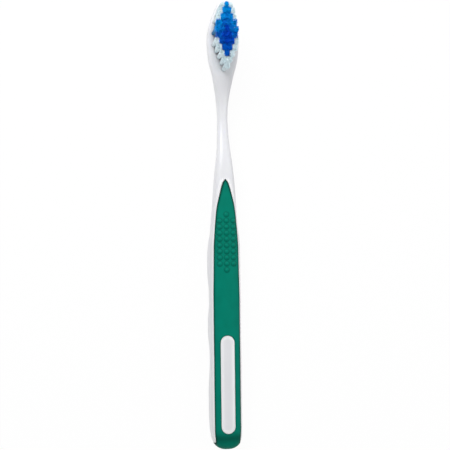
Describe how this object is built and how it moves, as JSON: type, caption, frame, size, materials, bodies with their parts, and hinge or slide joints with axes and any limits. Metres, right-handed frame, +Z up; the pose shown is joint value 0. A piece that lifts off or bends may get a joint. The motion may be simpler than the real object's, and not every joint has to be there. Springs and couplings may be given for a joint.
{
  "type": "manual toothbrush",
  "caption": "Straight manual toothbrush with a rounded handle, a soft front grip with raised dots, a thin neck and a leaf-shaped head whose coloured tufts form a diamond.",
  "frame": {"origin": "under the middle of the brush's box, on the surface that its back rests on", "axes": "+Y along the brush from the handle's end to the head, +Z up through the bristles, +X across the brush"},
  "size_m": [0.0138, 0.1902, 0.0224],
  "materials": {
    "handle": "glossy white moulded polypropylene",
    "grip": "satin green soft-touch elastomer",
    "white_bristle": "translucent white nylon filament",
    "blue_bristle": "translucent blue nylon filament",
    "anchor": "plain drawn nickel-brass wire"
  },
  "bodies": {
    "root": {"handle": "handle", "front_grip": "grip", "white_tufts_row_1": "white_bristle", "white_tufts_row_2": "white_bristle", "white_tufts_row_3": "white_bristle", "white_tufts_row_4": "white_bristle", "white_tufts_row_5": "white_bristle", "white_tufts_row_9": "white_bristle", "white_tufts_row_10": "white_bristle", "white_tufts_row_11": "white_bristle", "blue_tufts_row_3": "blue_bristle", "blue_tufts_row_4": "blue_bristle", "blue_tufts_row_5": "blue_bristle", "blue_tufts_row_6": "blue_bristle", "blue_tufts_row_7": "blue_bristle", "blue_tufts_row_8": "blue_bristle", "blue_tufts_row_9": "blue_bristle", "blue_tufts_row_10": "blue_bristle", "blue_tufts_row_11": "blue_bristle", "tuft_anchors_row_1": "anchor", "tuft_anchors_row_2": "anchor", "tuft_anchors_row_3": "anchor", "tuft_anchors_row_4": "anchor", "tuft_anchors_row_5": "anchor", "tuft_anchors_row_6": "anchor", "tuft_anchors_row_7": "anchor", "tuft_anchors_row_8": "anchor", "tuft_anchors_row_9": "anchor", "tuft_anchors_row_10": "anchor", "tuft_anchors_row_11": "anchor"}
  },
  "joints": []
}
